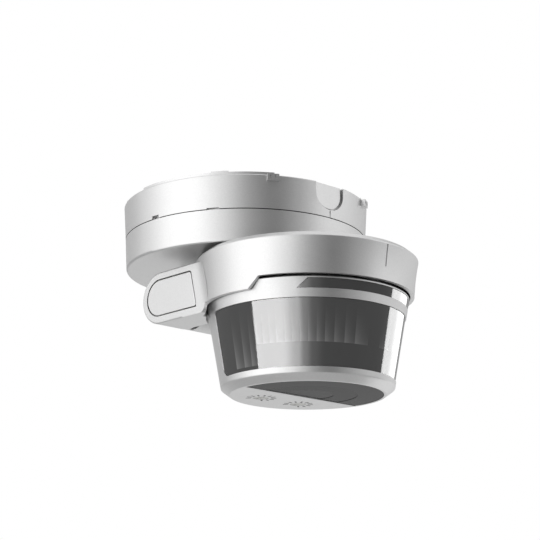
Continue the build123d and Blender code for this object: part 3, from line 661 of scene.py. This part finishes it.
def arm_corner(name, side):
    """Lower front corner of one arm, a solid strip through its sections."""
    stations = [CORNER_START, (CORNER_START + CAP_FRONT) / 2, CAP_FRONT, CAP_FRONT - CAP_STEP]
    stations += [CORNER_ROLL + (CORNER_END - CORNER_ROLL) * step / ROLL_STEPS
                 for step in range(ROLL_STEPS + 1)]
    shape = bmesh.new()
    sections = [[shape.verts.new((side * x, y, z)) for x, z in corner_section(y)] for y in stations]
    for near, far in zip(sections, sections[1:]):
        for low, high in zip(range(4), (1, 2, 3, 0)):
            shape.faces.new((near[low], near[high], far[high], far[low]))
    shape.faces.new(sections[0])
    shape.faces.new(sections[-1])
    bmesh.ops.recalc_face_normals(shape, faces=shape.faces)
    mesh = bpy.data.meshes.new(name)
    shape.to_mesh(mesh)
    mesh.materials.append(silver_paint.material)
    corner = bpy.data.objects.new(name, mesh)
    bpy.context.scene.collection.objects.link(corner)
    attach(corner, "head")


silver_paint.coat("head_housing", "side_cap_left", "side_cap_right")
arm_corner("arm_corner_right", -1)
arm_corner("arm_corner_left", 1)


# Lens frame: the conical silver body that turns into the housing's collar and carries all windows.
# Moulded and painted; a rubber ring seals its neck.
silver_paint.coat("lens_frame")
rubber.coat("frame_seal")


# Detection lens: a dark, infrared-clear shell in the frame, glossy outside, with fields moulded inside.
# Each field carries a painted highlight that starts at its edge and fades, stronger low down; the narrow
# front fields stop above the broad side ones.
LENS_DARK = 0.052
LENS_ROUGHNESS = 0.05
LENS_IOR = 1.25
HAZE_SIZE = 0.009
# Colour of the fields' painted highlight, and its share low down
FIELD_HIGHLIGHT = 0.185
FIELD_HIGHLIGHT_PEAK = 0.97
# How fast a field's painted highlight fades away from its edge, how fast it gains painted light downwards,
# and the painted light that is left at its dark edge
FIELD_FADE = 1.7
FIELD_GAIN = 2.3
FIELD_REST = 0.3
# Bearings of the fields' edges from the front of the head, in degrees, and the span of the ramp
FIELD_SPAN = 112.0
FRONT_FIELD_EDGES = [5, 14.5, 21.65, 28.15, 33.95, 38.9, 43.8, 48.6, 53.5, 58, 63, 67.5, 72, 76.5]
SIDE_FIELD_EDGES = [76.5, 81.5, 87.5, 95.5]
FIELD_EDGE = 0.0005
FRONT_FIELD_FOOT = -0.0601
SIDE_FIELD_FOOT = -0.0666
FIELD_TOP = -0.0463


def field_stops(edges):
    """Ramp that climbs across each field to its far edge and drops there."""
    stops = []
    for near, far in zip(edges, edges[1:]):
        stops += [(near / FIELD_SPAN + FIELD_EDGE, grey(0.0)), (far / FIELD_SPAN, grey(1.0))]
    return stops + [(edges[-1] / FIELD_SPAN + 3 * FIELD_EDGE, grey(0.0))]


def lens_fields(finish, edges, foot):
    """Painted highlight: 0 on plain lens and up to 1 at the edge of a field, strongest low down."""
    x, y, z = finish.axes()
    bearing = x.math("ABSOLUTE").math("ARCTAN2", HEAD_Y - y)
    ramp = Socket.add(finish.tree, "ShaderNodeValToRGB", {"stops": field_stops(edges)},
                      {0: bearing / radians(FIELD_SPAN)})
    level = Socket.add(finish.tree, "ShaderNodeSeparateColor", None, {0: ramp})
    depth = FIELD_HIGHLIGHT_PEAK * z.ramp_between(FIELD_TOP, foot) ** FIELD_GAIN
    rest = FIELD_REST * depth * depth
    inside = (bearing > radians(edges[0])) * (bearing < radians(edges[-1])) * (z > foot)
    return (level ** FIELD_FADE * (1 - rest) + rest) * depth * inside


def faceted_lens(name):
    """Polished dark plastic with painted highlights on its fields and a faint haze over them."""
    finish = Finish(name, grey(LENS_DARK), LENS_ROUGHNESS)
    finish.put("IOR", LENS_IOR)
    fields = (lens_fields(finish, FRONT_FIELD_EDGES, FRONT_FIELD_FOOT)
              + lens_fields(finish, SIDE_FIELD_EDGES, SIDE_FIELD_FOOT))
    haze = finish.noise(HAZE_SIZE, 3.0)
    # Painted highlight of the fields, with a faint haze
    highlight_and_haze = (fields + 0.05 * haze).clamped()
    finish.put("Base Color", finish.mix(highlight_and_haze, grey(LENS_DARK), grey(FIELD_HIGHLIGHT)))
    finish.put("Roughness", LENS_ROUGHNESS - 0.01 + 0.03 * haze)
    return finish


faceted_lens("lens_plastic").coat("detection_lens")


# Strip window: a long dark window with slanted ends, above the lens, in front of the status light.
# Plain polished plastic, snapped into the frame.
STRIP_DARK = 0.040

strip_plastic = moulded("strip_plastic", grey(STRIP_DARK), 0.06, grain=0.004, depth=0.000004)
strip_plastic.put("IOR", LENS_IOR)
strip_plastic.coat("strip_window")


# Floor window: the dark half disc under the sensor that looks straight down, in three round zones.
# Moulded like the lens with a finer matt skin, so that it mirrors less; the zones differ a little.
ZONE_RADII = (0.0084, 0.0164)
ZONE_GREYS = (0.050, 0.032, 0.042)
WINDOW_IOR = 1.06
SPECKLE_SIZE = 0.003
SPECKLE_GREY = 0.2


def zoned_window(name):
    """A disc of three round zones with faint speckles."""
    finish = Finish(name, grey(ZONE_GREYS[0]), 0.16)
    finish.put("IOR", WINDOW_IOR)
    x, y, z = finish.axes()
    y = y - HEAD_Y
    reach = (x * x + y * y).math("SQRT")
    zone = grey(ZONE_GREYS[0])
    for radius, outer in zip(ZONE_RADII, ZONE_GREYS[1:]):
        zone = finish.mix(reach > radius, zone, grey(outer))
    speckle = finish.noise(SPECKLE_SIZE, 3.0)
    finish.put("Base Color", finish.mix(0.06 * speckle, zone, grey(SPECKLE_GREY)))
    finish.put("Roughness", 0.14 + 0.06 * speckle)
    return finish


zoned_window("floor_plastic").coat("floor_lens")


# Glare: the studio's soft boxes shine on the two glossy windows alone, as the strip lights that a
# photographer sets to draw one bright band down the dark plastic.
windows = bpy.data.collections.new("glossy_windows")
for name in ("detection_lens", "strip_window"):
    windows.objects.link(nodes[name])
for box in glare:
    box.light_linking.receiver_collection = windows


# Sensor pillar: a black moulded pillar on three legs with four pyroelectric sensors in steel cans.
# Each can is drawn from nickel plated steel, with its window set flush in the front.
CAN_STEEL = (0.66, 0.65, 0.62, 1.0)

tray_plastic.coat("sensor_carrier")
plated("sensor_can", CAN_STEEL, 0.24, brush=(1.0, 1.0, 5.0)).coat("heat_sensors")


# Sensor board: the round board above the pillar with the controller, the status light
# and the light sensor. The small control board behind the pillar is the same material.
CHIP_BLACK = (0.018, 0.018, 0.019, 1.0)
RESIN = (0.78, 0.76, 0.72, 1.0)

printed_board("head_board_mask").coat("sensor_board", "control_board")
moulded("chip_epoxy", CHIP_BLACK, 0.5, grain=0.0002, depth=0.00001).coat("controller_chip")
resin = moulded("clear_resin", RESIN, 0.12, grain=0.002, depth=0.000004)
resin.coat("status_led", "light_sensor")


# Adjusters: two small knobs sunk in the frame's floor, for the time and the light level.
# White moulded knobs in black cases on the control board, with plain printed ticks round each.
DIAL_WHITE = (0.60, 0.60, 0.58, 1.0)
DIAL_RADIUS = 0.0026
TICK_COUNT = 11
TICK_ARC = 270.0
TICK_GAP = 0.0008
TICK_LENGTH = 0.0017
TICK_WIDTH = 0.0006
TICK_HEIGHT = 0.00004
INK = (0.03, 0.03, 0.032, 1.0)


def dial_ticks(dial):
    """Printed ticks round one dial, open towards the hinge."""
    growth = Growth(f"{dial}_ticks", Count=TICK_COUNT, Arc=radians(TICK_ARC), Radius=DIAL_RADIUS + TICK_GAP,
                    Length=TICK_LENGTH, Width=TICK_WIDTH, Height=TICK_HEIGHT, Paint=ink.material)
    line = growth.add("GeometryNodeMeshLine", {"mode": "OFFSET"}, {"Count": growth.given("Count")})
    index = growth.add("GeometryNodeInputIndex")
    turn = growth.given("Arc") * (index / (growth.given("Count") - 1) - 0.5) - radians(90)
    radius = growth.given("Radius") + growth.given("Length") / 2
    place = growth.add("ShaderNodeCombineXYZ", None,
                       {0: radius * turn.math("COSINE"), 1: radius * turn.math("SINE")})
    line = growth.add("GeometryNodeSetPosition", None, {0: line, "Position": place})
    size = growth.add("ShaderNodeCombineXYZ", None, {0: growth.given("Length"), 1: growth.given("Width"),
                                                     2: growth.given("Height")})
    bar = growth.add("GeometryNodeMeshCube", None, {"Size": size})
    angle = growth.add("ShaderNodeCombineXYZ", None, {2: turn})
    ticks = growth.add("GeometryNodeInstanceOnPoints", None, {0: line, "Instance": bar, "Rotation": angle})
    low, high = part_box(dial)
    floor_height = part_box("lens_frame")[0][2]
    centre = ((low[0] + high[0]) / 2, (low[1] + high[1]) / 2, floor_height)
    ring = growth.grow(growth.move(ticks, centre))
    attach(ring, "head")


tray_plastic.coat("adjuster_bodies")
moulded("dial_plastic", DIAL_WHITE, 0.45).coat("time_dial", "light_dial")
ink = moulded("printing_ink", INK, 0.6)
for dial in ("time_dial", "light_dial"):
    dial_ticks(dial)
